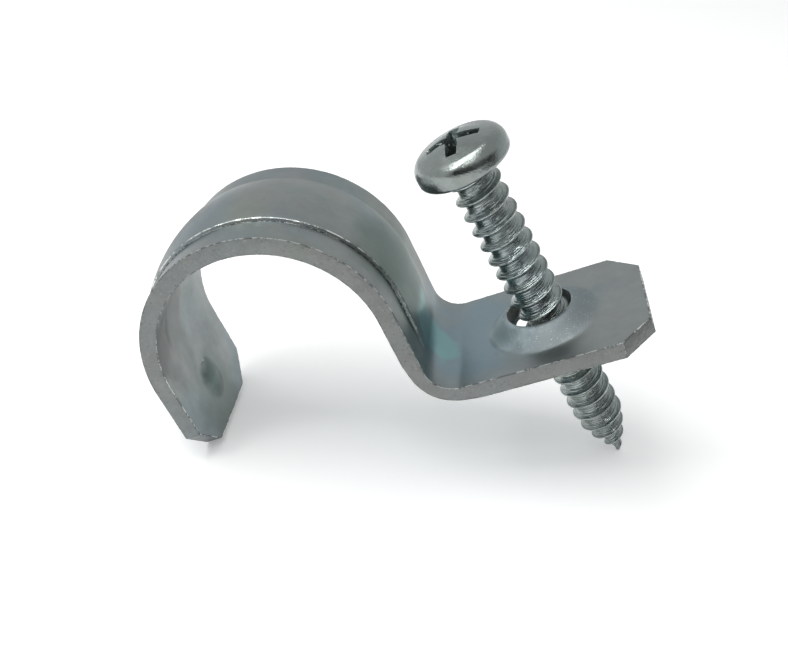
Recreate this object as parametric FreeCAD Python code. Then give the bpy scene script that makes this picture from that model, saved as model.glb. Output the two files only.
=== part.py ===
import FreeCAD, Part
import math
import os

# One-hole conduit strap with its pan-head screw. Millimetres. The origin is on
# the conduit's axis at the strap's mid width. X runs from the conduit to the
# foot, Y along the conduit and Z off the wall, which is the foot's underside.

# Driving dimensions of the strap
conduit_radius = 9.0  # inside of the bend that holds the conduit
sheet = 1.35  # thickness of the steel sheet
strap_width = 12.8  # along the conduit
wall_drop = 8.4  # conduit's axis to the wall, less than its radius so that the strap grips
leg_rise = 88.0  # degrees between the foot and the leg
tail_lean = 1.0  # degrees by which the tail leans in under the conduit
tail_gap = 1.3  # the tail's end stops this far off the wall
foot_reach = 27.55  # from the conduit's axis to the foot's free end
heel_inside_radius = 2.2  # bend between foot and leg, on the foot's upper face
heel_outside_radius = 4.25  # the same bend on the wall side, where the sheet is drawn thin
corner_clip = 2.4  # the four corners are cut off at 45 degrees

# Driving dimensions of the stiffening rib that is pressed out of the bend
rib_half_width = 3.8
rib_step = 0.22  # height of the crisp step along each edge
rib_step_run = 0.3  # width of that step
rib_crown = 0.62  # height at mid width
rib_ramp = 3.6  # each end of the rib fades out over this length
rib_tail_run = 0.5  # the rib ends this far down the tail

# Driving dimensions of the nub in the tail, pressed in from outside, that grips the conduit
nub_radius = 1.5  # at its base
nub_rise = 0.4
nub_drop = 3.4  # from the conduit's axis down to its centre

# Driving dimensions of the raised collar and the hole through it
hole_inset = 8.1  # from the hole's centre to the foot's free end
hole_radius = 2.65
collar_radius = 4.4  # at the collar's base
collar_rise = 1.25
collar_lip = 0.25  # flat rim round the hole

# Driving dimensions of the screw
thread_radius = 2.0  # over the crests
thread_pitch = 1.4
thread_depth = 0.54
thread_crest = 0.1  # width of the flat on a crest
thread_turn = -42.0  # degrees by which the thread is turned about the screw
flank_angle = 32.0  # degrees between each flank and the plane across the screw
screw_length = 30.25  # from under the head to the point
point_length = 4.6  # tapered end
point_radius = 0.12  # blunt tip of the point
point_waist_radius = 1.49  # over the crests on the point, at the next height
point_waist_height = 1.84  # above the tip
thread_run_out = 0.6  # the thread stops this short of the tip
trim_clearance = 0.4  # the cutter that trims the crests starts this far outside them
head_radius = 3.64
head_height = 2.45
head_top_edge = 1.18  # radius that rounds the side into the top
head_low_edge = 0.42  # radius that rounds the side into the underside
head_crown = 0.46  # rise of the domed top over that rounding
recess_span = 4.2  # across the wings of the cross recess
recess_width = 0.85  # of each wing
recess_depth = 1.5
recess_draft = 27.0  # degrees by which the end of each wing leans in
recess_turn = -3.0  # degrees by which the cross is turned about the screw

# Driving dimensions of how the screw stands, loose in the hole with its point down
screw_lean = 6.9  # degrees from the foot's normal
screw_lean_towards = -146.0  # degrees about Z from X to the side that the head leans to
screw_shift = 0.3  # from the hole's centre towards the free end, at the hole's mid height
screw_reach = 16.0  # from the hole's mid height down to the point

bury = 0.1  # a raised form starts this far inside the metal that carries it
overshoot = 1.0  # a cutter runs this far past the metal

out_dir = "parts"
os.makedirs(out_dir, exist_ok=True)


def vec(x, y, z):
    return FreeCAD.Vector(x, y, z)


def sin_deg(angle):
    return math.sin(math.radians(angle))


def cos_deg(angle):
    return math.cos(math.radians(angle))


def tan_deg(angle):
    return math.tan(math.radians(angle))


across = vec(0, 1, 0)
up = vec(0, 0, 1)
wall_z = -wall_drop
outer_radius = conduit_radius + sheet
hole_centre = vec(foot_reach - hole_inset, 0, 0)

# Directions in the strap's side view. The normals point away from the conduit.
leg_up = vec(-cos_deg(leg_rise), 0, sin_deg(leg_rise))
leg_normal = vec(sin_deg(leg_rise), 0, cos_deg(leg_rise))
tail_down = vec(sin_deg(tail_lean), 0, -cos_deg(tail_lean))
tail_normal = vec(-cos_deg(tail_lean), 0, -sin_deg(tail_lean))


def line(start, end):
    return Part.LineSegment(start, end).toShape()


def arc(start, middle, end):
    return Part.Arc(start, middle, end).toShape()


def arc_about(centre, start, end):
    """The shorter arc from start to end round a centre."""
    outwards = (start - centre) + (end - centre)
    middle = centre + outwards.normalize() * start.distanceToPoint(centre)
    return arc(start, middle, end)


def closed_face(edges):
    return Part.Face(Part.Wire(Part.__sortEdges__(edges)))


def at_height(start, direction, height):
    """The point where the line from start in this direction reaches the given height."""
    return start + direction * ((height - start.z) / direction.z)


def heel(radius, foot_height, heel_radius):
    """The rounding between the foot and the leg on one face of the sheet: its ends and its arc."""
    corner = at_height(leg_normal * radius, leg_up, foot_height)
    setback = heel_radius * tan_deg(leg_rise / 2)
    on_foot = corner + vec(setback, 0, 0)
    on_leg = corner + leg_up * setback
    return on_foot, on_leg, arc_about(on_foot + up * heel_radius, on_foot, on_leg)


def ring_arc(radius):
    """The arc round the conduit, from the leg over the top to the tail."""
    return arc(leg_normal * radius, up * radius, tail_normal * radius)


def side_line(radius, foot_height, heel_radius):
    """One face of the sheet in side view: its ends at foot and tail, and its edges."""
    foot_end = vec(foot_reach, 0, foot_height)
    on_foot, on_leg, heel_arc = heel(radius, foot_height, heel_radius)
    tail_corner = at_height(tail_normal * outer_radius, tail_down, wall_z + tail_gap)
    tail_end = tail_corner + tail_normal * (radius - outer_radius)
    edges = [
        line(foot_end, on_foot),
        heel_arc,
        line(on_leg, leg_normal * radius),
        ring_arc(radius),
        line(tail_normal * radius, tail_end),
    ]
    return foot_end, tail_end, edges


def bent_strip():
    """The strip bent to its side view, with its four corners clipped."""
    inner_foot, inner_tail, inner = side_line(conduit_radius, wall_z, heel_outside_radius)
    outer_foot, outer_tail, outer = side_line(outer_radius, wall_z + sheet, heel_inside_radius)
    ends = [line(inner_foot, outer_foot), line(inner_tail, outer_tail)]
    section = closed_face(inner + outer + ends)
    section.translate(across * (-strap_width / 2))
    strip = section.extrude(across * strap_width)
    corners = [edge for edge in strip.Edges if math.isclose(edge.Length, sheet, abs_tol=1e-6)]
    return strip.makeChamfer(corner_clip, corners)


def rib_section(start, radius):
    """The rib's cross-section, standing on the leg at this radius from the conduit's axis."""

    def at(width, height):
        return start + across * width + leg_normal * (radius + height)

    top_half_width = rib_half_width - rib_step_run
    sides = []
    for side in (-1, 1):
        edge = at(side * rib_half_width, 0)
        sides.append(line(at(side * rib_half_width, -bury), edge))
        sides.append(line(edge, at(side * top_half_width, rib_step)))
    crown = arc(at(-top_half_width, rib_step), at(0, rib_crown), at(top_half_width, rib_step))
    base = line(at(-rib_half_width, -bury), at(rib_half_width, -bury))
    return Part.Wire(Part.__sortEdges__(sides + [crown, base]))


def end_ramp(end, inwards, normal):
    """A cutter whose face climbs from the sheet at the rib's end to the rib's crown, and on."""
    slope = rib_crown / rib_ramp
    outer = end - inwards * overshoot
    low = outer - normal * (overshoot * slope)
    high = end + inwards * (2 * rib_ramp) + normal * (2 * rib_crown)
    back = outer + normal * (2 * rib_crown)
    ramp = closed_face([line(low, high), line(high, back), line(back, low)])
    ramp.translate(across * (-strap_width / 2))
    return ramp.extrude(across * strap_width)


def rib_form(radius):
    """The rib's form on a cylinder of this radius. It is also the hollow pressed behind the rib."""
    heel_on_leg = heel(outer_radius, wall_z + sheet, heel_inside_radius)[1]
    leg_end = heel_on_leg - leg_normal * outer_radius
    tail_end = tail_down * rib_tail_run
    path = Part.Wire([
        line(leg_end + leg_normal * radius, leg_normal * radius),
        ring_arc(radius),
        line(tail_normal * radius, tail_end + tail_normal * radius),
    ])
    form = path.makePipeShell([rib_section(leg_end, radius)], True, False)
    form = form.cut(end_ramp(leg_end + leg_normal * radius, leg_up, leg_normal))
    return form.cut(end_ramp(tail_end + tail_normal * radius, tail_down * -1, tail_normal))


def nub_dome(radius):
    """The nub's dome on the tail's face at this radius. It is also the hollow pressed behind the nub."""
    dome_radius = (nub_radius ** 2 + nub_rise ** 2) / (2 * nub_rise)
    centre_behind = dome_radius - nub_rise
    centre = tail_down * nub_drop + tail_normal * (radius + centre_behind)
    base_latitude = math.degrees(math.asin((centre_behind - bury) / dome_radius))
    return Part.makeSphere(dome_radius, centre, tail_normal * -1, base_latitude, 90, 360)


def collar_form(base_height):
    """The collar's cone standing on a face at this height. It is also the hollow behind the collar."""
    cone = Part.makeCone(collar_radius, hole_radius + collar_lip, collar_rise)
    cone.translate(hole_centre + up * base_height)
    return cone


def strap():
    body = bent_strip()
    body = body.fuse(rib_form(outer_radius)).cut(rib_form(conduit_radius))
    body = body.fuse(nub_dome(conduit_radius)).cut(nub_dome(outer_radius))
    body = body.fuse(collar_form(wall_z + sheet)).cut(collar_form(wall_z))
    drill = Part.makeCylinder(hole_radius, sheet + collar_rise + 2 * overshoot)
    drill.translate(hole_centre + up * (wall_z - overshoot))
    return body.cut(drill).removeSplitter()


def thread_ridge(low_z, height, root_radius, taper):
    """One length of thread, wound upwards from low_z round a root that widens by taper degrees."""
    half_crest = thread_crest / 2
    half_base = half_crest + (thread_depth + bury) * tan_deg(flank_angle)
    crest_radius = root_radius + thread_depth
    corners = [
        vec(root_radius - bury, 0, low_z - half_base),
        vec(crest_radius, 0, low_z - half_crest),
        vec(crest_radius, 0, low_z + half_crest),
        vec(root_radius - bury, 0, low_z + half_base),
    ]
    section = Part.makePolygon(corners + corners[:1])
    helix = Part.makeHelix(thread_pitch, height, root_radius, taper)
    helix.translate(up * low_z)
    return Part.Wire(helix.Edges).makePipeShell([section], True, True)


def shank():
    """The threaded shank below the head's underside at height 0, with its tapered point."""
    root_radius = thread_radius - thread_depth
    straight = screw_length - point_length
    half_base = thread_crest / 2 + thread_depth * tan_deg(flank_angle)
    rod = Part.makeCylinder(root_radius, straight + bury)
    rod.translate(up * -straight)
    cone = Part.makeCone(point_radius, root_radius, point_length)
    cone.translate(up * -screw_length)

    # The thread on the point ends where the thread on the rod begins
    taper = math.degrees(math.atan((root_radius - point_radius) / point_length))
    point_run = point_length - thread_run_out
    root_at_run_out = root_radius - point_run * tan_deg(taper)
    point_ridge = thread_ridge(-straight - point_run, point_run, root_at_run_out, taper)
    point_ridge.rotate(vec(0, 0, 0), up, -360 * point_run / thread_pitch)
    rod_ridge = thread_ridge(-straight, straight - half_base, root_radius, 0)
    threaded = rod.fuse(cone).fuse([rod_ridge, point_ridge])
    threaded.rotate(vec(0, 0, 0), up, thread_turn)
    return threaded


def point_trimmer():
    """A cutter round the point that brings the crests in to the tip along a curve."""
    top = vec(thread_radius + trim_clearance, 0, point_length - screw_length)
    waist = vec(point_waist_radius, 0, point_waist_height - screw_length)
    tip = vec(point_radius, 0, -screw_length - bury)
    outer_top = top + vec(overshoot, 0, 0)
    outer_low = vec(outer_top.x, 0, tip.z)
    side = closed_face([
        arc(top, waist, tip),
        line(tip, outer_low),
        line(outer_low, outer_top),
        line(outer_top, top),
    ])
    return side.revolve(vec(0, 0, 0), up, 360)


def head():
    """The pan head, standing on height 0."""
    under = vec(head_radius - head_low_edge, 0, 0)
    side_low = vec(head_radius, 0, head_low_edge)
    shoulder = vec(head_radius - head_top_edge, 0, head_height - head_crown)
    side_top = vec(head_radius, 0, shoulder.z - head_top_edge)
    summit = vec(0, 0, head_height)
    crown_radius = (shoulder.x ** 2 + head_crown ** 2) / (2 * head_crown)
    side = closed_face([
        line(vec(0, 0, 0), under),
        arc_about(under + up * head_low_edge, under, side_low),
        line(side_low, side_top),
        arc_about(shoulder - up * head_top_edge, side_top, shoulder),
        arc_about(summit - up * crown_radius, shoulder, summit),
        line(summit, vec(0, 0, 0)),
    ])
    return side.revolve(vec(0, 0, 0), up, 360)


def recess():
    """The cross recess: two tapered bars, one across the other."""
    bar_top = head_height + overshoot
    bar_low = head_height - recess_depth
    half_top = recess_span / 2 + overshoot * tan_deg(recess_draft)
    half_low = recess_span / 2 - recess_depth * tan_deg(recess_draft)
    corners = [
        vec(-half_top, -recess_width / 2, bar_top),
        vec(half_top, -recess_width / 2, bar_top),
        vec(half_low, -recess_width / 2, bar_low),
        vec(-half_low, -recess_width / 2, bar_low),
    ]
    bar = Part.Face(Part.makePolygon(corners + corners[:1])).extrude(across * recess_width)
    cross_bar = bar.copy()
    cross_bar.rotate(vec(0, 0, 0), up, 90)
    cross = bar.fuse(cross_bar)
    cross.rotate(vec(0, 0, 0), up, recess_turn)
    return cross


def screw():
    """The screw, leaning in the hole."""
    body = shank().cut(point_trimmer()).fuse(head()).cut(recess())
    lean = vec(
        sin_deg(screw_lean) * cos_deg(screw_lean_towards),
        sin_deg(screw_lean) * sin_deg(screw_lean_towards),
        cos_deg(screw_lean))
    hole_middle = hole_centre + up * (wall_z + collar_rise + sheet / 2)
    under_head = hole_middle + vec(screw_shift, 0, 0) + lean * (screw_length - screw_reach)
    body.Placement = FreeCAD.Placement(under_head, FreeCAD.Rotation(up, lean))
    return body


for name, make in (("strap", strap), ("screw", screw)):
    make().exportStep(os.path.join(out_dir, name + ".step"))
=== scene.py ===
import math

import bmesh
import bpy
from mathutils import Matrix, Vector
from mathutils import noise as mathutils_noise


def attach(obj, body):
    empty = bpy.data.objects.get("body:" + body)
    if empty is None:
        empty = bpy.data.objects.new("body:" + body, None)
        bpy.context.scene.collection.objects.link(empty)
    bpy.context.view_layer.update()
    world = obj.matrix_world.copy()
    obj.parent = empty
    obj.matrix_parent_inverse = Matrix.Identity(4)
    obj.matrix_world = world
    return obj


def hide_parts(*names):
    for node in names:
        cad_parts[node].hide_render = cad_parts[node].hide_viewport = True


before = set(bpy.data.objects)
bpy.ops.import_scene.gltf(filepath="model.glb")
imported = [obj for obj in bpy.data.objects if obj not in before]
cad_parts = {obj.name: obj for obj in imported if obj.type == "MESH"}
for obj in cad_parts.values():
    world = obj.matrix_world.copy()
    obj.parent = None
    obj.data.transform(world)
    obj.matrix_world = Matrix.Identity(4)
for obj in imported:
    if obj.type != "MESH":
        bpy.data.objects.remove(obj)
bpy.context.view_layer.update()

# The pieces are modelled in millimetres and shrunk to metres when they are finished
MM = 0.001

# Strap
CONDUIT_RADIUS = 9.0
SHEET = 1.35
OUTER_RADIUS = CONDUIT_RADIUS + SHEET
HALF_WIDTH = 6.4
WALL = -8.4
FOOT_TOP = WALL + SHEET
FOOT_END = 27.55
CORNER_CLIP = 2.4
HOLE_X = 19.45
HOLE_RADIUS = 2.65
COLLAR_RISE = 1.25
LEG_RISE = math.radians(88)
TAIL_LEAN = math.radians(1)
HEEL_RADIUS = 2.2
HEEL_THINNING = 0.2  # share of the sheet's thickness that is gone round the heel
TAIL_GAP = 1.3
RIB_HALF_WIDTH = 3.8
RIB_STEP_TOP = 3.56  # the two edges of the rib's step, from the strip's middle
RIB_STEP_FOOT = 3.74
RIB_STEP = 0.22  # the step's height
RIB_CROWN = 0.62
RIB_RAMP = 3.6
RIB_TAIL_RUN = 0.5
HOLLOW_MIDDLE = 1.8  # the hollow behind the rib is full to here, and gone at its half width
HOLLOW_HALF_WIDTH = 4.4
NUB_Y = 0.0
NUB_Z = -3.4
NUB_RADIUS = 1.5
NUB_RISE = 0.4
FOOT_START = HOLE_X - 5.6
EDGE_ROUND = 0.11

# Screw, with the underside of its head at height 0
ROOT_RADIUS = 1.46
PITCH = 1.4
THREAD_TURNS = 24  # wound before the ends are cut off
SCREW_LENGTH = 30.25
POINT_LENGTH = 4.6
POINT_RADIUS = 0.12
HEAD_RADIUS = 3.64
HEAD_HEIGHT = 2.45
HEAD_TOP_EDGE = 1.18
HEAD_LOW_EDGE = 0.42
HEAD_CROWN = 0.46
DOME_RADIUS = 6.81  # of the head's top, which the recess's rolled edge follows
RECESS_SPAN = 4.2
RECESS_WIDTH = 0.85
RECESS_DRAFT = 27
RECESS_TURN = math.radians(-3)
THREAD_TURN = math.radians(73.7)  # where the crest stands at the head's underside
HEAD_SHIFT = 2.0  # the head's turns are this much lower on the thread's map than the shank's
UNDER_HEAD = Vector((18.331, -0.957, 7.672))
SCREW_LEAN = Vector((-0.0996, -0.0672, 0.99276)).normalized()

RING_ANGLE = LEG_RISE + math.pi / 2 + TAIL_LEAN
RING_LENGTH = OUTER_RADIUS * RING_ANGLE
LEG_UP = Vector((-math.cos(LEG_RISE), 0, math.sin(LEG_RISE)))
LEG_NORMAL = Vector((math.sin(LEG_RISE), 0, math.cos(LEG_RISE)))
TAIL_DOWN = Vector((math.sin(TAIL_LEAN), 0, -math.cos(TAIL_LEAN)))
TAIL_NORMAL = Vector((-math.cos(TAIL_LEAN), 0, -math.sin(TAIL_LEAN)))
LEG_END = OUTER_RADIUS * LEG_NORMAL  # where the leg meets the ring, on the outer face
TAIL_START = OUTER_RADIUS * TAIL_NORMAL
LEG_DROP = (LEG_END.z - FOOT_TOP) / LEG_UP.z  # along the leg, down to the foot's upper face
HEEL_SETBACK = HEEL_RADIUS * math.tan(LEG_RISE / 2)
HEEL_START = LEG_END.x - LEG_UP.x * LEG_DROP + HEEL_SETBACK
LEG_LENGTH = LEG_DROP - HEEL_SETBACK
TAIL_LENGTH = (TAIL_START.z - WALL - TAIL_GAP) / -TAIL_DOWN.z

# Room
ROOM_UP = Vector((0.435, 0, 0.9))  # square to the paper that the part stands on
PAPER_PLACE = Vector((21.344, 1.075, -22.4))
PAPER_TILT = math.radians(25.8)
PAPER_WHITE = 0.20  # added to the lit paper, so that it shows white
PHOTO_WIDTH = 788
FOCAL_LENGTH = 974.8765  # in pixels of the photograph


def deselect():
    if bpy.context.mode != "OBJECT":
        bpy.ops.object.mode_set(mode="OBJECT")
    bpy.ops.object.select_all(action="DESELECT")


def start(name):
    """Names the primitive that was just added and opens it for editing."""
    piece = bpy.context.active_object
    piece.name = name
    piece.data.name = name
    bpy.context.tool_settings.mesh_select_mode = (True, False, False)
    bpy.ops.object.mode_set(mode="EDIT")
    return piece


def pick(piece, kind, test):
    """Selects only the corners, edges or faces whose middle passes the test."""
    mesh = bmesh.from_edit_mesh(piece.data)
    bpy.context.tool_settings.mesh_select_mode = (kind == "verts", kind == "edges", kind == "faces")
    bpy.ops.mesh.select_all(action="DESELECT")
    for item in getattr(mesh, kind):
        corners = [item.co] if kind == "verts" else [corner.co for corner in item.verts]
        if all(test(place) for place in corners):
            item.select_set(True)
    bmesh.update_edit_mesh(piece.data)


def picked(mesh):
    return [corner for corner in mesh.verts if corner.select]


def extrude(x=0.0, y=0.0, z=0.0):
    bpy.ops.mesh.extrude_region_move(TRANSFORM_OT_translate={"value": (x, y, z)})


def close_edit():
    bpy.ops.object.mode_set(mode="OBJECT")


def reopen(piece):
    """Opens a finished piece for editing, with everything on it selected."""
    deselect()
    piece.select_set(True)
    bpy.context.view_layer.objects.active = piece
    bpy.ops.object.mode_set(mode="EDIT")
    bpy.ops.mesh.select_all(action="SELECT")


def apply_place(piece):
    """Moves a piece's place, turn and size into its mesh."""
    deselect()
    piece.select_set(True)
    bpy.context.view_layer.objects.active = piece
    bpy.ops.object.transform_apply(location=True, rotation=True, scale=True)


def add_modifier(piece, kind, **settings):
    """Adds a modifier, sets it and applies it."""
    modifier = piece.modifiers.new(kind.lower(), kind)
    for key, value in settings.items():
        setattr(modifier, key, value)
    bpy.context.view_layer.objects.active = piece
    bpy.ops.object.modifier_apply(modifier=modifier.name)


def outline_point(place):
    """Where the ray from the hole's middle through this place meets the foot's outline."""
    ray = Vector((place.x - HOLE_X, place.y))
    sides = [
        (Vector((-1, 0)), HOLE_X - FOOT_START),
        (Vector((1, 0)), FOOT_END - HOLE_X),
        (Vector((0, 1)), HALF_WIDTH),
        (Vector((0, -1)), HALF_WIDTH),
    ]
    clip = (FOOT_END - HOLE_X + HALF_WIDTH - CORNER_CLIP) / math.sqrt(2)
    sides.append((Vector((1, 1)).normalized(), clip))
    sides.append((Vector((1, -1)).normalized(), clip))
    reach = min(far / ray.dot(side) for side, far in sides if ray.dot(side) > 1e-9)
    return Vector((HOLE_X + ray.x * reach, ray.y * reach, place.z))


# Lines of the mesh that run along the strip, on one side of its middle
STRIP_LINES = [0.25 * step for step in range(1, 14)] + [
    3.4, 3.54, 3.58, 3.62, 3.68, 3.72, 3.76, 4.1, 4.5, 5.0, 5.5, 6.0, 6.4]


def strap_face():
    """The strap's outer face as one sheet, drawn from the hole outwards and then along the strip."""
    bpy.ops.mesh.primitive_circle_add(vertices=192, radius=HOLE_RADIUS)
    piece = start("strap_metal")
    bpy.ops.mesh.select_all(action="SELECT")
    bpy.ops.transform.translate(value=(HOLE_X, 0, FOOT_TOP + COLLAR_RISE))

    # The collar: its lip, its slope and the soft crease at its foot
    rings = [(2.74, 1.25), (2.83, 1.235), (2.95, 1.18), (3.1, 1.08), (3.35, 0.87), (3.6, 0.645), (3.85, 0.43),
             (4.1, 0.245), (4.3, 0.125), (4.5, 0.05), (4.7, 0.012), (4.9, 0.0), (5.2, 0.0)]
    radius, height = HOLE_RADIUS, COLLAR_RISE
    for next_radius, next_height in rings:
        extrude(z=next_height - height)
        size = next_radius / radius
        bpy.ops.transform.resize(value=(size, size, 1), center_override=(HOLE_X, 0, 0))
        radius, height = next_radius, next_height

    # The rest of the foot, out to its outline
    extrude()
    mesh = bmesh.from_edit_mesh(piece.data)
    rim = picked(mesh)
    for corner in rim:
        corner.co = outline_point(corner.co)
    for side in (-1, 1):
        for clip_end in (Vector((FOOT_END, side * (HALF_WIDTH - CORNER_CLIP), FOOT_TOP)),
                         Vector((FOOT_END - CORNER_CLIP, side * HALF_WIDTH, FOOT_TOP))):
            near = min(rim, key=lambda corner: (corner.co - clip_end).length)
            near.co = clip_end
    inner_edge = [corner for corner in rim if corner.co.x < FOOT_START + 1e-3]
    inner_edge.sort(key=lambda corner: corner.co.y)
    lines = [-line for line in reversed(STRIP_LINES)] + [0.0] + STRIP_LINES
    if len(inner_edge) != len(lines):
        raise ValueError("the foot has %d lines for %d" % (len(inner_edge), len(lines)))
    for corner, line in zip(inner_edge, lines):
        corner.co.x = FOOT_START
        corner.co.y = line
    bmesh.update_edit_mesh(piece.data)

    # Along the foot, round the heel, up the leg, round the conduit and down the tail
    pick(piece, "edges", lambda place: place.x < FOOT_START + 1e-3)
    for step in range(4):
        extrude(x=(HEEL_START - FOOT_START) / 4)
    heel_middle = (HEEL_START, 0, FOOT_TOP + HEEL_RADIUS)
    bpy.ops.mesh.spin(steps=18, angle=-LEG_RISE, center=heel_middle, axis=(0, 1, 0))
    for step in range(18):
        extrude(*(LEG_UP * LEG_LENGTH / 18))
    bpy.ops.mesh.spin(steps=150, angle=RING_ANGLE, center=(0, 0, 0), axis=(0, 1, 0))
    for step in range(28):
        extrude(*(TAIL_DOWN * TAIL_LENGTH / 28))
    close_edit()
    return piece


def smooth(start_at, end_at, value):
    """0 before start_at, 1 after end_at, with a soft S between."""
    share = min(max((value - start_at) / (end_at - start_at), 0.0), 1.0)
    return share * share * (3 - 2 * share)


def place_on_strip(place):
    """How far along the strip a place is from the ring's foot side, and which way is out there."""
    if place.x > 0 and (place - LEG_END).dot(LEG_UP) < 0:
        return (place - LEG_END).dot(LEG_UP), LEG_NORMAL
    if place.x < 0 and (place - TAIL_START).dot(TAIL_DOWN) > 0:
        return RING_LENGTH + (place - TAIL_START).dot(TAIL_DOWN), TAIL_NORMAL
    out = Vector((place.x, 0, place.z)).normalized()
    turned = math.atan2(out.z, out.x) % (2 * math.pi)
    return OUTER_RADIUS * (turned - (math.pi / 2 - LEG_RISE)), out


def rib_lift(across, far_in):
    """The rib's height on the outer face: a crisp step along each edge under a shallow crown."""
    step = 1 - smooth(RIB_STEP_TOP, RIB_STEP_FOOT, across)
    crown = (RIB_CROWN - RIB_STEP) * max(0.0, 1 - (across / RIB_HALF_WIDTH) ** 2)
    return (RIB_STEP + crown) * step * smooth(-0.4, RIB_RAMP, far_in)


def hollow_lift(across, far_in):
    """The depth of the soft hollow behind the rib."""
    level = 1 - smooth(HOLLOW_MIDDLE, HOLLOW_HALF_WIDTH, across)
    return (RIB_CROWN - 0.1) * level * smooth(-1.0, RIB_RAMP + 2.0, far_in)


def press_rib(piece):
    """Lifts the middle of the strip into the rib. Returns where the soft hollow behind it goes."""
    hollow = {}
    for corner in piece.data.vertices:
        place = corner.co.copy()
        on_foot = place.x > 12.0
        in_heel = place.x > 7.5 and place.z < FOOT_TOP + HEEL_RADIUS - 0.2
        if on_foot or in_heel:
            continue
        along, out = place_on_strip(place)
        far_in = min(along + LEG_LENGTH, RING_LENGTH + RIB_TAIL_RUN - along)
        across = abs(place.y)
        corner.co += out * rib_lift(across, far_in)
        if far_in > -1.0 and along > -LEG_LENGTH + 1.0:
            hollow[corner.index] = place + out * (hollow_lift(across, far_in) - SHEET)
    return hollow


def press_nub(piece):
    """The small nub on the tail, pressed in from outside, that holds the strap on its conduit."""
    for corner in piece.data.vertices:
        if corner.co.x < -CONDUIT_RADIUS and corner.co.z < -1.0:
            far = math.hypot(corner.co.y - NUB_Y, corner.co.z - NUB_Z)
            corner.co -= TAIL_NORMAL * (NUB_RISE * (1 - smooth(0.0, 1.25 * NUB_RADIUS, far)))


def clip_tail(piece):
    """Draws the tail's outer lines up so that its two corners are cut off."""
    for corner in piece.data.vertices:
        down = (corner.co - TAIL_START).dot(TAIL_DOWN)
        over = abs(corner.co.y) - (HALF_WIDTH - CORNER_CLIP)
        if corner.co.x < 0 and down > 0 and over > 0:
            corner.co -= TAIL_DOWN * (over * down / TAIL_LENGTH)


def thin_heel(piece):
    """A group that tells how thick the sheet is: it is drawn thin round the heel."""
    group = piece.vertex_groups.new(name="thickness")
    middle = Vector((11.35, 0, FOOT_TOP + 0.75))
    for corner in piece.data.vertices:
        side_view = Vector((corner.co.x, 0, corner.co.z))
        near = 1 - smooth(0.6, 3.0, (side_view - middle).length)
        group.add([corner.index], 1 - HEEL_THINNING * near, "REPLACE")
    return group.name


def strap():
    """The whole strap: its outer face is shaped first and then given its thickness."""
    piece = strap_face()
    piece.data.materials.append(None)
    piece.data.materials.append(None)
    reopen(piece)
    tidy_normals()
    close_edit()
    top = max(piece.data.polygons, key=lambda face: face.center.z)
    if top.normal.z < 0:
        reopen(piece)
        bpy.ops.mesh.flip_normals()
        close_edit()
    clip_tail(piece)
    hollow = press_rib(piece)
    press_nub(piece)
    group = thin_heel(piece)
    outer_corners = len(piece.data.vertices)
    add_modifier(piece, "SOLIDIFY", thickness=SHEET, offset=-1, use_even_offset=True,
                 use_quality_normals=True, vertex_group=group, material_offset_rim=1)
    for index, place in hollow.items():
        piece.data.vertices[index + outer_corners].co = place
    add_modifier(piece, "BEVEL", width=EDGE_ROUND, segments=3, limit_method="ANGLE",
                 angle_limit=math.radians(50), loop_slide=True)
    bpy.ops.object.shade_smooth_by_angle(angle=math.radians(38))
    lay_strip_lines(piece)
    return piece


# The thread's outline over one turn: how far from the axis and how far along it
THREAD_LINE = [
    (1.46, -0.70), (1.46, -0.56), (1.475, -0.46), (1.53, -0.37), (1.63, -0.285),
    (1.76, -0.205), (1.88, -0.135), (1.95, -0.085), (1.985, -0.045), (2.0, -0.015),
    (2.0, 0.015), (1.985, 0.045), (1.95, 0.085), (1.88, 0.135), (1.76, 0.205),
    (1.63, 0.285), (1.53, 0.37), (1.475, 0.46), (1.46, 0.56), (1.46, 0.70)]


def draw_line(name, places):
    """A piece that is only a line of places (from the axis, height), to be turned about the axis."""
    bpy.ops.mesh.primitive_plane_add(size=1)
    piece = start(name)
    bpy.ops.mesh.select_all(action="SELECT")
    bpy.ops.mesh.merge(type="CENTER")
    bpy.ops.mesh.select_all(action="SELECT")
    bpy.ops.transform.translate(value=(places[0][0], 0, places[0][1]))
    for before, after in zip(places, places[1:]):
        extrude(x=after[0] - before[0], z=after[1] - before[1])
    return piece


def curve_places(centre, radius, first, last, steps):
    """Places on an arc in side view, from one angle to another."""
    angles = [math.radians(first + (last - first) * step / steps) for step in range(steps + 1)]
    return [(centre[0] + radius * math.cos(angle), centre[1] + radius * math.sin(angle)) for angle in angles]


def tidy_normals():
    """Merges the open piece's doubled corners and points its faces outwards."""
    bpy.ops.mesh.select_all(action="SELECT")
    bpy.ops.mesh.remove_doubles(threshold=0.0005)
    bpy.ops.mesh.normals_make_consistent(inside=False)


def cut_level(height, keep_above):
    """Cuts the open piece level at this height, keeps one side and closes it."""
    bpy.ops.mesh.select_all(action="SELECT")
    bpy.ops.mesh.bisect(plane_co=(0, 0, height), plane_no=(0, 0, 1), use_fill=True, clear_inner=keep_above,
                        clear_outer=not keep_above, threshold=0.0001)


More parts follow.
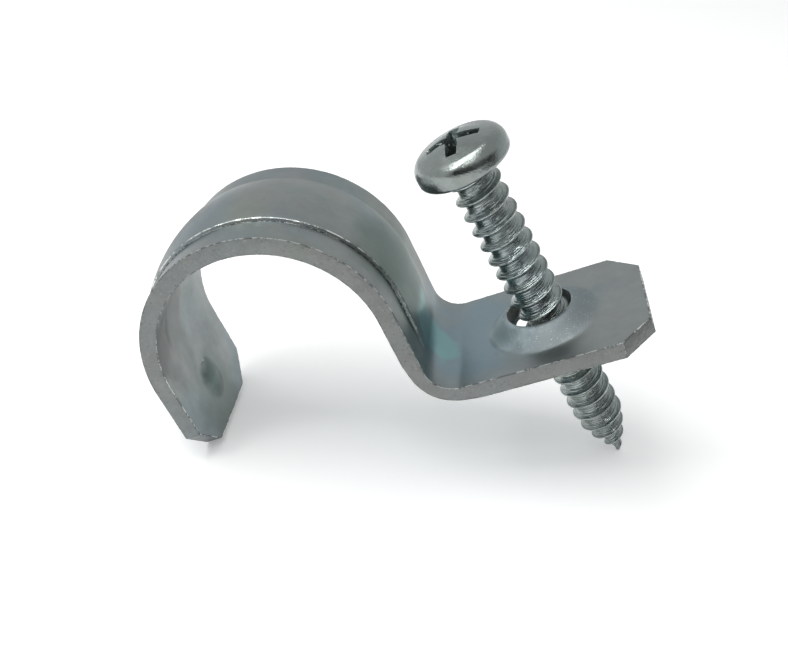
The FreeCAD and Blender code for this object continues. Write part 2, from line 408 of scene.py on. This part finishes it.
def threaded_shank():
    """One turn's line wound down the shank, and drawn in to the point."""
    deselect()
    piece = draw_line("screw_metal", THREAD_LINE)
    close_edit()
    add_modifier(piece, "SCREW", axis="Z", angle=2 * math.pi, screw_offset=PITCH, iterations=THREAD_TURNS,
                 steps=60, render_steps=60)
    piece.rotation_euler.z = THREAD_TURN
    piece.location.z = -(THREAD_TURNS - 1) * PITCH
    apply_place(piece)
    for corner in piece.data.vertices:
        height = corner.co.z + SCREW_LENGTH
        if height < POINT_LENGTH:
            share = min(max(height / POINT_LENGTH, 0.0), 1.0)
            root = POINT_RADIUS + (ROOT_RADIUS - POINT_RADIUS) * share
            room = min(1.0, 0.16 + 1.6 * share)  # how much of the crest is left
            far = max(math.hypot(corner.co.x, corner.co.y), 1e-6)
            drawn_in = (root + (far - ROOT_RADIUS) * room) / far
            corner.co.x *= drawn_in
            corner.co.y *= drawn_in
    reopen(piece)
    tidy_normals()
    cut_level(-SCREW_LENGTH, True)
    cut_level(0.4, False)
    tidy_normals()
    close_edit()
    return piece


def screw_head():
    """The pan head, turned from its side view."""
    shoulder = (HEAD_RADIUS - HEAD_TOP_EDGE, HEAD_HEIGHT - HEAD_CROWN)
    crown_radius = (shoulder[0] ** 2 + HEAD_CROWN ** 2) / (2 * HEAD_CROWN)
    crown_end = math.degrees(math.acos(shoulder[0] / crown_radius))
    places = [(0, 0), (1.2, 0), (2.2, 0)]
    places += curve_places((HEAD_RADIUS - HEAD_LOW_EDGE, HEAD_LOW_EDGE), HEAD_LOW_EDGE, -90, 0, 8)
    places += curve_places((shoulder[0], shoulder[1] - HEAD_TOP_EDGE), HEAD_TOP_EDGE, 0, crown_end, 14)
    places += curve_places((0, HEAD_HEIGHT - crown_radius), crown_radius, crown_end, 90, 14)[1:]
    deselect()
    piece = draw_line("screw_head", places)
    bpy.ops.mesh.select_all(action="SELECT")
    bpy.ops.mesh.spin(steps=112, angle=2 * math.pi, center=(0, 0, 0), axis=(0, 0, 1))
    tidy_normals()
    close_edit()
    return piece


def recess_punch():
    """The cross that is punched into the head: wings with drawn-in ends and a rolled upper edge."""
    deselect()
    bpy.ops.mesh.primitive_plane_add(size=RECESS_WIDTH)
    piece = start("recess_punch")
    half = RECESS_WIDTH / 2
    for x, y in ((1, 0), (-1, 0), (0, 1), (0, -1)):
        pick(piece, "edges", lambda place: abs(place.x * x + place.y * y - half) < 1e-4
             and max(abs(place.x), abs(place.y)) < half + 1e-4)
        for step in range(4):
            extrude(x=x * (RECESS_SPAN / 2 - half) / 4, y=y * (RECESS_SPAN / 2 - half) / 4)
    bpy.ops.mesh.select_all(action="SELECT")
    bpy.ops.transform.translate(value=(0, 0, 0.5))
    height = 0.5
    for level in (0.06, 0.02, -0.03, -0.09, -0.3, -0.6, -0.9, -1.2, -1.5):
        extrude(z=level - height)
        height = level

    # Each wing flares at the top, narrows downwards, leans in at its end and is a little uneven
    mathutils_noise.seed_set(1)
    for corner in bmesh.from_edit_mesh(piece.data).verts:
        depth = corner.co.z
        wide = 0.05 * smooth(-0.12, 0.06, depth) + 0.12 * smooth(0.06, 0.5, depth) + 0.1 * min(depth, 0)
        reach = wide + min(depth, 0) * math.tan(math.radians(RECESS_DRAFT))
        far_x, far_y = abs(corner.co.x), abs(corner.co.y)
        if far_x > half + 1e-3:
            share = (far_x - half) / (RECESS_SPAN / 2 - half)
            corner.co.x = math.copysign(far_x + wide + (reach - wide) * share, corner.co.x)
            corner.co.y = math.copysign(far_y + wide, corner.co.y)
        elif far_y > half + 1e-3:
            share = (far_y - half) / (RECESS_SPAN / 2 - half)
            corner.co.y = math.copysign(far_y + wide + (reach - wide) * share, corner.co.y)
            corner.co.x = math.copysign(far_x + wide, corner.co.x)
        else:
            corner.co.x = math.copysign(far_x + wide, corner.co.x)
            corner.co.y = math.copysign(far_y + wide, corner.co.y)
        if depth < 0.1:
            corner.co += 0.11 * mathutils_noise.noise_vector(corner.co * 1.7)
        far = math.hypot(corner.co.x, corner.co.y)
        corner.co.z += HEAD_HEIGHT - far * far / (2 * DOME_RADIUS) * smooth(-1.3, -0.1, depth)
    tidy_normals()
    close_edit()
    for face in piece.data.polygons:
        face.material_index = 1
    piece.rotation_euler.z = RECESS_TURN
    apply_place(piece)
    return piece


def screw():
    """The whole screw, leaning as it stands in the hole."""
    piece = threaded_shank()
    head = screw_head()
    punch = recess_punch()
    for part in (piece, head, punch):
        part.data.materials.append(None)
        part.data.materials.append(None)
    add_modifier(head, "BOOLEAN", object=punch, operation="DIFFERENCE", solver="EXACT")
    add_modifier(piece, "BOOLEAN", object=head, operation="UNION", solver="EXACT")
    deselect()
    for used in (head, punch):
        used.select_set(True)
    bpy.ops.object.delete()
    lay_thread_lines(piece)
    lean = Vector((0, 0, 1)).rotation_difference(SCREW_LEAN)
    piece.matrix_world = Matrix.Translation(UNDER_HEAD) @ lean.to_matrix().to_4x4()
    apply_place(piece)
    reopen(piece)
    bpy.ops.mesh.remove_doubles(threshold=0.0005)
    close_edit()
    bpy.ops.object.shade_smooth_by_angle(angle=math.radians(42))
    return piece


def finish_piece(piece, node):
    """Shrinks a finished piece to metres and hands it over for the solid that it stands for."""
    piece.scale = (MM, MM, MM)
    apply_place(piece)
    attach(piece, "root")
    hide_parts(node)


def aim_camera():
    """The photograph's camera: its place, its turn and its lens."""
    right = Vector((0.919514, 0.096241, -0.381093))
    down = Vector((-0.277844, -0.526655, -0.803391))
    ahead = Vector((-0.278023, 0.844614, -0.457526))
    turn = Matrix((right, -down, -ahead)).transposed()
    place = Vector((0.02993011, -0.06691679, 0.03260742))
    bpy.ops.object.camera_add()
    camera = bpy.context.active_object
    camera.matrix_world = Matrix.Translation(place) @ turn.to_4x4()
    camera.data.sensor_width = 36
    camera.data.sensor_fit = "HORIZONTAL"
    camera.data.lens = FOCAL_LENGTH / PHOTO_WIDTH * camera.data.sensor_width
    camera.data.clip_start = 0.005
    camera.data.clip_end = 5
    bpy.context.scene.camera = camera


def only_map(piece, name):
    """Takes the primitives' own maps off a piece and gives it one new map."""
    while piece.data.uv_layers:
        piece.data.uv_layers.remove(piece.data.uv_layers[0])
    return piece.data.uv_layers.new(name=name)


def lay_strip_lines(piece):
    """A map in millimetres: along the strip and across it."""
    layer = only_map(piece, "strip")
    for loop in piece.data.loops:
        place = piece.data.vertices[loop.vertex_index].co
        if place.z > 0:
            along = OUTER_RADIUS * math.atan2(place.x, place.z)
        elif place.x < 0:
            along = -OUTER_RADIUS * math.pi / 2 + place.z
        else:
            along = OUTER_RADIUS * math.pi / 2 - place.z + max(place.x - LEG_END.x - 1.0, 0.0)
        layer.data[loop.index].uv = (along, place.y)


def lay_thread_lines(piece):
    """A map that follows the thread: turns about the axis, and how far beyond the crest, in turns."""
    layer = only_map(piece, "thread")
    for face in piece.data.polygons:
        middle = math.atan2(face.center.y, face.center.x)
        for index in face.loop_indices:
            place = piece.data.vertices[piece.data.loops[index].vertex_index].co
            turn = math.atan2(place.y, place.x)
            turn += 2 * math.pi * round((middle - turn) / (2 * math.pi))
            along = place.z / PITCH - (turn - THREAD_TURN) / (2 * math.pi)
            on_head = face.center.z > -0.02
            layer.data[index].uv = (turn / (2 * math.pi) - (HEAD_SHIFT if on_head else 0.0), along)


def node(tree, kind, **settings):
    made = tree.nodes.new("ShaderNode" + kind)
    for key, value in settings.items():
        setattr(made, key, value)
    return made


def new_group(name, inputs, outputs):
    """A shader node group with its two ends: names and values that go in, names that come out."""
    group = bpy.data.node_groups.new(name, "ShaderNodeTree")
    for label, value in inputs:
        kind = "NodeSocketColor" if isinstance(value, tuple) else "NodeSocketFloat"
        group.interface.new_socket(label, in_out="INPUT", socket_type=kind).default_value = value
    for label, kind in outputs:
        group.interface.new_socket(label, in_out="OUTPUT", socket_type=kind)
    return group, group.nodes.new("NodeGroupInput"), group.nodes.new("NodeGroupOutput")


def noise(tree, vector, scale, detail=3.0, roughness=0.55):
    """A cloudy pattern from 0 to 1, mostly near 0.5."""
    made = node(tree, "TexNoise")
    made.inputs["Scale"].default_value = scale
    made.inputs["Detail"].default_value = detail
    made.inputs["Roughness"].default_value = roughness
    tree.links.new(vector, made.inputs["Vector"])
    return made.outputs["Fac"]


def stretch(tree, vector, scale, location=(0, 0, 0)):
    """Stretches a pattern and moves it."""
    made = node(tree, "Mapping")
    made.inputs["Scale"].default_value = scale
    made.inputs["Location"].default_value = location
    tree.links.new(vector, made.inputs["Vector"])
    return made.outputs["Vector"]


def feed(tree, socket, value):
    """Links a socket to another one's output, or sets it to a plain value."""
    if isinstance(value, bpy.types.NodeSocket):
        tree.links.new(value, socket)
    else:
        socket.default_value = value


def reckon(tree, operation, first, second=0.0):
    """One step of arithmetic on masks or numbers."""
    made = node(tree, "Math", operation=operation)
    feed(tree, made.inputs[0], first)
    feed(tree, made.inputs[1], second)
    return made.outputs[0]


def times(tree, first, *others):
    """Masks or numbers multiplied together."""
    for other in others:
        first = reckon(tree, "MULTIPLY", first, other)
    return first


def spread(tree, value, low, high, to_low=0.0, to_high=1.0):
    """Spreads low to high over a new range, and holds the ends."""
    made = node(tree, "MapRange", interpolation_type="SMOOTHSTEP")
    tree.links.new(value, made.inputs["Value"])
    made.inputs["From Min"].default_value = low
    made.inputs["From Max"].default_value = high
    feed(tree, made.inputs["To Min"], to_low)
    feed(tree, made.inputs["To Max"], to_high)
    return made.outputs["Result"]


def band(tree, value, rise, fall):
    """1 between a rise and a fall of the value, 0 beyond them."""
    return times(tree, spread(tree, value, *rise), spread(tree, value, *fall, 1.0, 0.0))


def cloud_mask(tree, place, move, scale, detail, low, high):
    """Clouds from 0 to 1. The pattern is moved, so that no two of them lie alike."""
    return spread(tree, noise(tree, stretch(tree, place, (1, 1, 1), move), scale, detail), low, high)


def towards(tree, way, direction):
    """How far a direction of the room points this way, from -1 to 1."""
    made = node(tree, "VectorMath", operation="DOT_PRODUCT")
    tree.links.new(way, made.inputs[0])
    made.inputs[1].default_value = direction
    return made.outputs["Value"]


def grey(tree, value):
    """A colour with this value as its red, green and blue."""
    made = node(tree, "CombineColor")
    for name in ("Red", "Green", "Blue"):
        tree.links.new(value, made.inputs[name])
    return made.outputs["Color"]


def blend_colour(tree, share, first, second, how="MIX"):
    """The first colour with this share of the second one over it."""
    made = node(tree, "Mix", data_type="RGBA", blend_type=how)
    feed(tree, made.inputs["Factor"], share)
    feed(tree, made.inputs[6], first)
    feed(tree, made.inputs[7], second)
    return made.outputs[2]


def zinc_tint_group():
    """The faint blue, green and yellow clouds of passivated zinc over its plain grey."""
    group, given, out = new_group(
        "zinc_tint", [("Grey", (0.26, 0.29, 0.29, 1)), ("Clouds", 1.0), ("Mottle", 0.2)],
        [("Color", "NodeSocketColor")])
    place = node(group, "TexCoord").outputs["Object"]
    blue = cloud_mask(group, place, (0.31, 0.07, 0.2), 95, 2, 0.46, 0.66)
    yellow = cloud_mask(group, place, (0.11, 0.52, 0.4), 130, 2, 0.52, 0.72)
    teal = cloud_mask(group, place, (0.71, 0.12, 0.9), 210, 3, 0.5, 0.75)
    mottle = noise(group, place, 900, 4, 0.65)
    clouds = given.outputs["Clouds"]
    colour = blend_colour(group, times(group, blue, clouds), given.outputs["Grey"], (0.215, 0.275, 0.315, 1))
    colour = blend_colour(group, times(group, yellow, clouds), colour, (0.285, 0.305, 0.255, 1))
    colour = blend_colour(group, times(group, teal, clouds, 0.6), colour, (0.19, 0.27, 0.27, 1))
    uneven = times(group, reckon(group, "SUBTRACT", mottle, 0.5), given.outputs["Mottle"], 2.0)
    bright = reckon(group, "ADD", 1.0, uneven)
    group.links.new(blend_colour(group, 1.0, colour, grey(group, bright), "MULTIPLY"), out.inputs["Color"])
    return group


def grain_group():
    """Fine plating grain with pits, and drawing lines where a direction is given."""
    group, given, out = new_group(
        "plating_grain", [("Grain", 1.0), ("Lines", 1.0)],
        [("Height", "NodeSocketFloat"), ("Pits", "NodeSocketFloat")])
    coords = node(group, "TexCoord")
    place = coords.outputs["Object"]
    fine = noise(group, place, 5200, 3, 0.6)
    broad = noise(group, place, 700, 2)
    lines = noise(group, stretch(group, coords.outputs["UV"], (0.12, 4.2, 1)), 1.0, 4, 0.7)
    pits = spread(group, noise(group, place, 2100, 3, 0.6), 0.25, 0.31, 1.0, 0.0)
    height = times(group, fine, given.outputs["Grain"])
    height = reckon(group, "ADD", height, times(group, broad, 1.1))
    height = reckon(group, "ADD", height, times(group, lines, given.outputs["Lines"]))
    height = reckon(group, "SUBTRACT", height, times(group, pits, 0.5))
    group.links.new(height, out.inputs["Height"])
    group.links.new(pits, out.inputs["Pits"])
    return group


def edge_glint_group():
    """Where edges get a painted highlight, in broken lengths, and the thin painted shade line between those.
    """
    group, given, out = new_group(
        "edge_glint_and_shade", [("Width", 0.12 * MM), ("Breaks", 0.5)],
        [("Bright", "NodeSocketFloat"), ("PaintedShade", "NodeSocketFloat")])
    place = node(group, "TexCoord").outputs["Object"]
    masks = []
    for factor in (1.0, 1.5):
        rounded = node(group, "Bevel", samples=6)
        group.links.new(times(group, given.outputs["Width"], factor), rounded.inputs["Radius"])
        likeness = node(group, "VectorMath", operation="DOT_PRODUCT")
        group.links.new(rounded.outputs["Normal"], likeness.inputs[0])
        group.links.new(node(group, "NewGeometry").outputs["Normal"], likeness.inputs[1])
        masks.append(spread(group, likeness.outputs["Value"], 0.92, 0.99, 1.0, 0.0))
    broken = noise(group, place, 1500, 5, 0.75)
    least = reckon(group, "ADD", 0.28, times(group, given.outputs["Breaks"], 0.4))
    breaks = spread(group, reckon(group, "SUBTRACT", broken, least), 0.0, 0.05)
    group.links.new(times(group, masks[0], breaks), out.inputs["Bright"])
    rest = reckon(group, "SUBTRACT", 1.0, breaks)
    group.links.new(times(group, masks[1], rest), out.inputs["PaintedShade"])
    return group


def metal_material(name):
    """A new material of bare metal, its nodes and its shader."""
    material = bpy.data.materials.new(name)
    material.use_nodes = True
    shader = material.node_tree.nodes["Principled BSDF"]
    shader.inputs["Metallic"].default_value = 1.0
    return material, material.node_tree, shader


def place_group(tree, group, **values):
    """Puts a shared effect into a material, with the material's own values."""
    made = tree.nodes.new("ShaderNodeGroup")
    made.node_tree = group
    for label, value in values.items():
        feed(tree, made.inputs[label], value)
    return made


def bump(tree, shader, height, distance):
    """Roughens the shader's surface by a pattern of heights."""
    made = node(tree, "Bump")
    made.inputs["Distance"].default_value = distance
    tree.links.new(height, made.inputs["Height"])
    tree.links.new(made.outputs["Normal"], shader.inputs["Normal"])


# Stains and patches of painted shade on the strap in millimetres: the middle, where each is full and where it
# is gone, its colour
STAINS_AND_SHADE = [
    ((13.5, 0, -7.0), (3.0, 8.0), (0.234, 0.316, 0.360, 1)),  # blue, on the foot beside the heel
    ((10.6, -1.0, 0.5), (3.0, 7.0), (0.165, 0.212, 0.196, 1)),  # green, on the leg
    ((-3.2, -1.0, 10.6), (1.5, 5.0), (0.256, 0.303, 0.332, 1)),  # pale blue, on the ring's top
    ((-9.0, 0, -5.5), (2.5, 7.0), (0.165, 0.200, 0.188, 1)),  # painted shade, down the tail
    ((-8.8, 0, -3.6), (0.5, 2.4), (0.120, 0.162, 0.150, 1)),  # painted shade, in the nub's dent
    ((-6.5, 1.5, 8.8), (2.5, 6.0), (0.185, 0.192, 0.188, 1)),  # painted shade, on the ring's far shoulder
    ((-9.0, -2.5, 4.0), (2.5, 6.5), (0.165, 0.174, 0.170, 1)),  # painted shade, on the ring above the tail
    ((-7.9, -6.3, 4.0), (1.4, 3.4), (0.145, 0.151, 0.149, 1)),  # painted shade, inside the ring at its rim
    ((10.2, 0, -4.6), (1.9, 3.4), (0.230, 0.400, 0.410, 1)),  # teal, low on the leg
]


def cloudy_patch(tree, middle, reach):
    """A cloudy patch round a place on the sheet, in millimetres: full inside, gone outside."""
    place = node(tree, "TexCoord").outputs["Object"]
    away = node(tree, "VectorMath", operation="DISTANCE")
    tree.links.new(place, away.inputs[0])
    away.inputs[1].default_value = Vector(middle) * MM
    wander = times(tree, reckon(tree, "SUBTRACT", noise(tree, place, 260, 3), 0.5), 9 * MM)
    away = reckon(tree, "ADD", away.outputs["Value"], wander)
    return spread(tree, away, reach[0] * MM, reach[1] * MM, 0.85, 0.0)


def rib_lines(tree):
    """Painted highlight along the top of the rib's step, in broken lengths, and a painted shade line at its
    foot.
    """
    coords = node(tree, "TexCoord")
    strip, place = node(tree, "SeparateXYZ"), node(tree, "SeparateXYZ")
    tree.links.new(coords.outputs["UV"], strip.inputs[0])
    tree.links.new(coords.outputs["Object"], place.inputs[0])
    outward = node(tree, "CombineXYZ")
    tree.links.new(place.outputs["X"], outward.inputs["X"])
    tree.links.new(reckon(tree, "MAXIMUM", place.outputs["Z"], 0.0), outward.inputs["Z"])
    far = node(tree, "VectorMath", operation="LENGTH")
    tree.links.new(outward.outputs[0], far.inputs[0])
    outside = spread(tree, far.outputs["Value"], 9.9 * MM, 10.1 * MM)
    along = strip.outputs["X"]
    on_rib = times(tree, outside, band(tree, along, (-17.0, -15.0), (17.0, 20.0)))
    across = reckon(tree, "ABSOLUTE", strip.outputs["Y"])
    breaks = spread(tree, noise(tree, coords.outputs["Object"], 1300, 5, 0.75), 0.49, 0.55)
    top, foot = RIB_STEP_TOP, RIB_STEP_FOOT
    crest = band(tree, across, (top - 0.03, top), (top + 0.04, top + 0.07))
    step_foot_shade = band(tree, across, (foot - 0.08, foot - 0.04), (foot, foot + 0.04))
    return times(tree, crest, breaks, on_rib, 0.8), times(tree, step_foot_shade, on_rib)


def sheet_material(tint, grain, edge_glints):
    """Bright zinc on the rolled faces of the strap."""
    material, tree, shader = metal_material("zinc_sheet_face")
    shader.inputs["Specular Tint"].default_value = (0.8, 0.8, 0.8, 1)
    colour = place_group(tree, tint, Grey=(0.294, 0.312, 0.311, 1), Clouds=0.5, Mottle=0.14).outputs["Color"]
    # Stains, and patches of painted shade, as listed above
    for middle, reach, patch_colour in STAINS_AND_SHADE:
        colour = blend_colour(tree, cloudy_patch(tree, middle, reach), colour, patch_colour)
    texture = place_group(tree, grain, Grain=0.8, Lines=1.3)
    edge = place_group(tree, edge_glints, Width=0.16 * MM, Breaks=0.5)
    # Painted highlights and painted shade lines along the edges and along the rib's step
    crest, step_foot_shade = rib_lines(tree)
    bright = reckon(tree, "MAXIMUM", edge.outputs["Bright"], crest)
    painted_shade_lines = reckon(tree, "MAXIMUM", edge.outputs["PaintedShade"], step_foot_shade)
    colour = blend_colour(tree, times(tree, painted_shade_lines, 0.8), colour, (0.06, 0.07, 0.07, 1))
    colour = blend_colour(tree, bright, colour, (0.98, 1.0, 0.97, 1))
    pits = times(tree, texture.outputs["Pits"], 0.35)
    colour = blend_colour(tree, pits, colour, (0.12, 0.14, 0.14, 1))
    place = node(tree, "TexCoord").outputs["Object"]
    rough = spread(tree, noise(tree, place, 160, 4), 0.35, 0.65, 0.30, 0.42)

    # The collar's skin is frosted and paler, with fine glints painted into its colour
    flat = stretch(tree, place, (1, 1, 0), (-HOLE_X * MM, 0, 0))
    away = node(tree, "VectorMath", operation="LENGTH")
    tree.links.new(flat, away.inputs[0])
    wander = times(tree, reckon(tree, "SUBTRACT", noise(tree, place, 500, 3), 0.5), 0.6 * MM)
    away = reckon(tree, "ADD", away.outputs["Value"], wander)
    collar = spread(tree, away, 4.2 * MM, 4.7 * MM, 1.0, 0.0)
    painted_glints = spread(tree, noise(tree, place, 8500, 2, 0.6), 0.64, 0.74)
    colour = blend_colour(tree, times(tree, collar, 0.55), colour, (0.24, 0.285, 0.305, 1))
    colour = blend_colour(tree, times(tree, collar, painted_glints), colour, (0.62, 0.68, 0.70, 1))
    # Painted light: the collar's side left of the hole is lifted to a paler colour
    collar_painted_light = times(tree, collar, cloudy_patch(tree, (15.4, -1.8, -6.4), (2.0, 4.0)))
    colour = blend_colour(tree, collar_painted_light, colour, (0.46, 0.545, 0.57, 1))
    rough = reckon(tree, "ADD", rough, times(tree, collar, 0.26))
    tree.links.new(colour, shader.inputs["Base Color"])
    rough = reckon(tree, "SUBTRACT", rough, times(tree, bright, 0.16))
    tree.links.new(rough, shader.inputs["Roughness"])
    frost = times(tree, collar, noise(tree, place, 4200, 2), 1.6)
    bump(tree, shader, reckon(tree, "ADD", texture.outputs["Height"], frost), 0.012 * MM)
    return material


def cut_material(tint, grain, edge_glints):
    """The sheared rim of the sheet and the wall of the punched hole: warmer, rough and mottled."""
    material, tree, shader = metal_material("zinc_sheet_cut")
    colour = place_group(tree, tint, Grey=(0.223, 0.230, 0.224, 1), Clouds=0.2, Mottle=0.2).outputs["Color"]
    texture = place_group(tree, grain, Grain=1.6, Lines=0.0)
    edge = place_group(tree, edge_glints, Width=0.17 * MM, Breaks=0.5)
    place = node(tree, "TexCoord").outputs["Object"]
    torn = noise(tree, stretch(tree, place, (1.0, 0.3, 1.0)), 3600, 4, 0.8)
    colour = blend_colour(tree, spread(tree, torn, 0.55, 0.72), colour, (0.36, 0.36, 0.335, 1))
    colour = blend_colour(tree, spread(tree, torn, 0.44, 0.32, 0.0, 1.0), colour, (0.13, 0.135, 0.13, 1))
    # Painted shade lines along the edges
    painted_shade_lines = times(tree, edge.outputs["PaintedShade"], 0.75)
    colour = blend_colour(tree, painted_shade_lines, colour, (0.07, 0.075, 0.07, 1))

    # Painted edge highlights, strongest where the edges face up towards the light
    facing = node(tree, "NewGeometry").outputs["Normal"]
    upward = spread(tree, towards(tree, facing, ROOM_UP), 0.05, 0.4, 0.15, 1.0)
    bright = times(tree, edge.outputs["Bright"], upward)
    colour = blend_colour(tree, bright, colour, (0.98, 1.0, 0.97, 1))
    tree.links.new(colour, shader.inputs["Base Color"])
    rough = spread(tree, torn, 0.3, 0.7, 0.36, 0.55)
    rough = reckon(tree, "SUBTRACT", rough, times(tree, bright, 0.2))
    tree.links.new(rough, shader.inputs["Roughness"])
    height = reckon(tree, "ADD", times(tree, torn, 2.5), texture.outputs["Height"])
    bump(tree, shader, height, 0.022 * MM)
    return material


def screw_material(tint, grain, edge_glints):
    """Brighter, glossier zinc of the screw, with rolling lines that follow the thread."""
    material, tree, shader = metal_material("zinc_screw_metal")
    colour = place_group(tree, tint, Grey=(0.266, 0.294, 0.285, 1), Clouds=0.3, Mottle=0.35).outputs["Color"]
    texture = place_group(tree, grain, Grain=1.3, Lines=0.0)
    edge = place_group(tree, edge_glints, Width=0.1 * MM, Breaks=0.65)
    coords = node(tree, "TexCoord")
    wound = node(tree, "SeparateXYZ")
    tree.links.new(coords.outputs["UV"], wound.inputs[0])
    place = coords.outputs["Object"]
    ridges = None
    for number, (count, weight) in enumerate(((6, 0.5), (11, 0.35), (17, 0.25))):
        wave = reckon(tree, "SINE", times(tree, wound.outputs["Y"], 2 * math.pi * count))
        patch = cloud_mask(tree, place, (number * 0.3, 0.1, 0.2), 900, 2, 0.35, 0.65)
        wave = times(tree, wave, patch, weight)
        ridges = wave if ridges is None else reckon(tree, "ADD", ridges, wave)
    shank = spread(tree, wound.outputs["X"], 0.5 - HEAD_SHIFT, 0.6 - HEAD_SHIFT)
    ridges = times(tree, ridges, shank)
    colour = blend_colour(tree, times(tree, shank, 0.25), colour, (0.55, 0.62, 0.60, 1))
    grime = spread(tree, noise(tree, place, 1100, 4, 0.7), 0.50, 0.68)
    colour = blend_colour(tree, times(tree, grime, shank, 0.4), colour, (0.09, 0.115, 0.11, 1))

    # How far from the crest, in turns: the crest is worn and carries a painted highlight, and the flanks
    # beside it carry painted shade
    turns = reckon(tree, "FRACT", reckon(tree, "ADD", wound.outputs["Y"], 50.5))
    from_crest = reckon(tree, "ABSOLUTE", reckon(tree, "SUBTRACT", turns, 0.5))
    wear_and_glint_patches = spread(tree, noise(tree, place, 1300, 3), 0.42, 0.58)
    crest = times(tree, spread(tree, from_crest, 0.015, 0.045, 1.0, 0.0), wear_and_glint_patches, shank)
    painted_flank_shade = band(tree, from_crest, (0.05, 0.075), (0.09, 0.13))
    colour = blend_colour(tree, times(tree, painted_flank_shade, shank, 0.65), colour, (0.10, 0.12, 0.115, 1))
    colour = blend_colour(tree, crest, colour, (0.70, 0.74, 0.72, 1))
    # Painted highlights on the screw's edges
    colour = blend_colour(tree, edge.outputs["Bright"], colour, (0.82, 0.85, 0.82, 1))
    tree.links.new(colour, shader.inputs["Base Color"])
    tree.links.new(spread(tree, noise(tree, place, 500, 3), 0.3, 0.7, 0.14, 0.30), shader.inputs["Roughness"])
    height = reckon(tree, "ADD", texture.outputs["Height"], times(tree, ridges, 2.2))
    bump(tree, shader, height, 0.016 * MM)
    return material


def recess_material(tint, grain):
    """The punched cross: painted dark for the shade inside it, rough, with painted glints as bright spots."""
    material, tree, shader = metal_material("zinc_screw_recess")
    # Painted shade: the cross is coloured dark for the shade inside it
    colour = place_group(tree, tint, Grey=(0.10, 0.125, 0.12, 1), Clouds=0.2, Mottle=0.6).outputs["Color"]
    texture = place_group(tree, grain, Grain=2.0, Lines=0.0)
    place = node(tree, "TexCoord").outputs["Object"]
    # Painted glints: bright spots on the cross, which are also glossier and raised
    torn = spread(tree, noise(tree, place, 2600, 3, 0.7), 0.58, 0.66)
    tree.links.new(blend_colour(tree, torn, colour, (0.80, 0.86, 0.82, 1)), shader.inputs["Base Color"])
    tree.links.new(spread(tree, torn, 0.0, 1.0, 0.45, 0.22), shader.inputs["Roughness"])
    bump(tree, shader, reckon(tree, "ADD", texture.outputs["Height"], torn), 0.03 * MM)
    return material


def paper_material():
    """The white paper under the part, which keeps the shadow. It is clear when seen from below."""
    material = bpy.data.materials.new("white_paper")
    material.use_nodes = True
    tree = material.node_tree
    tree.nodes.clear()
    paper = node(tree, "BsdfDiffuse")
    fibre = noise(tree, node(tree, "TexCoord").outputs["Object"], 900, 4)
    shade = grey(tree, spread(tree, fibre, 0.2, 0.8, 0.945, 0.955))
    tree.links.new(shade, paper.inputs["Color"])
    white = node(tree, "Emission")
    white.inputs["Color"].default_value = (1, 1, 1, 1)
    rays = node(tree, "LightPath")
    seen = reckon(tree, "MAXIMUM", rays.outputs["Is Camera Ray"], rays.outputs["Is Glossy Ray"])
    seen = reckon(tree, "MAXIMUM", seen, rays.outputs["Is Transmission Ray"])
    tree.links.new(times(tree, seen, PAPER_WHITE), white.inputs["Strength"])
    lit = node(tree, "AddShader")
    tree.links.new(paper.outputs[0], lit.inputs[0])
    tree.links.new(white.outputs[0], lit.inputs[1])
    behind = node(tree, "MixShader")
    tree.links.new(node(tree, "NewGeometry").outputs["Backfacing"], behind.inputs[0])
    tree.links.new(lit.outputs[0], behind.inputs[1])
    tree.links.new(node(tree, "BsdfTransparent").outputs[0], behind.inputs[2])
    tree.links.new(behind.outputs[0], node(tree, "OutputMaterial").inputs["Surface"])
    return material


def lay_paper():
    """The floor: one sheet of paper, tilted as the part leans on its tail, its heel and the screw's point."""
    deselect()
    bpy.ops.mesh.primitive_plane_add(size=1.6)
    floor = bpy.context.active_object
    floor.name = "floor"
    floor.rotation_euler = (0, PAPER_TILT, 0)
    floor.location = PAPER_PLACE * MM
    floor.data.materials.append(paper_material())


def light_room():
    """A pale room, brightest at the back, and dark low down on the camera's side."""
    world = bpy.data.worlds.new("studio")
    world.use_nodes = True
    tree = world.node_tree
    way = node(tree, "TexCoord").outputs["Generated"]
    height = towards(tree, way, ROOM_UP)
    front = spread(tree, towards(tree, way, (0.45, -0.89, 0)), 0.25, 0.6)
    low = spread(tree, height, 0.42, 0.68, 1.0, 0.0)
    above = spread(tree, height, 0.30, 0.80, 0.76, 0.60)
    level = spread(tree, times(tree, front, low), 0.0, 1.0, above, 0.07)
    tree.links.new(level, tree.nodes["Background"].inputs["Strength"])
    tree.nodes["Background"].inputs["Color"].default_value = (0.97, 1.0, 1.0, 1)
    bpy.context.scene.world = world


def hang_lamp(name, place, aim, size, power):
    """A softbox at this place, in millimetres, facing the aim."""
    bpy.ops.object.light_add(type="AREA", location=Vector(place) * MM)
    lamp = bpy.context.active_object
    lamp.name = name
    lamp.data.shape = "RECTANGLE"
    lamp.data.size = size[0] * MM
    lamp.data.size_y = size[1] * MM
    lamp.data.energy = power
    lamp.rotation_euler = (Vector(aim) - Vector(place)).to_track_quat("-Z", "Y").to_euler()


tint, grain, edge_glints = zinc_tint_group(), grain_group(), edge_glint_group()
strap_piece = strap()
strap_piece.data.materials[0] = sheet_material(tint, grain, edge_glints)
strap_piece.data.materials[1] = cut_material(tint, grain, edge_glints)
finish_piece(strap_piece, "strap")
screw_piece = screw()
screw_piece.data.materials[0] = screw_material(tint, grain, edge_glints)
screw_piece.data.materials[1] = recess_material(tint, grain)
finish_piece(screw_piece, "screw")

aim_camera()
lay_paper()
light_room()
hang_lamp("softbox_above", (8, -28, 300), (8, 0, -5), (210, 210), 0.50)
hang_lamp("softbox_front", (75, -150, 215), (10, 0, 0), (100, 26), 0.06)
hang_lamp("softbox_left", (-68, -111, 262), (8, 0, -5), (60, 60), 0.08)
bpy.context.scene.view_settings.view_transform = "Standard"
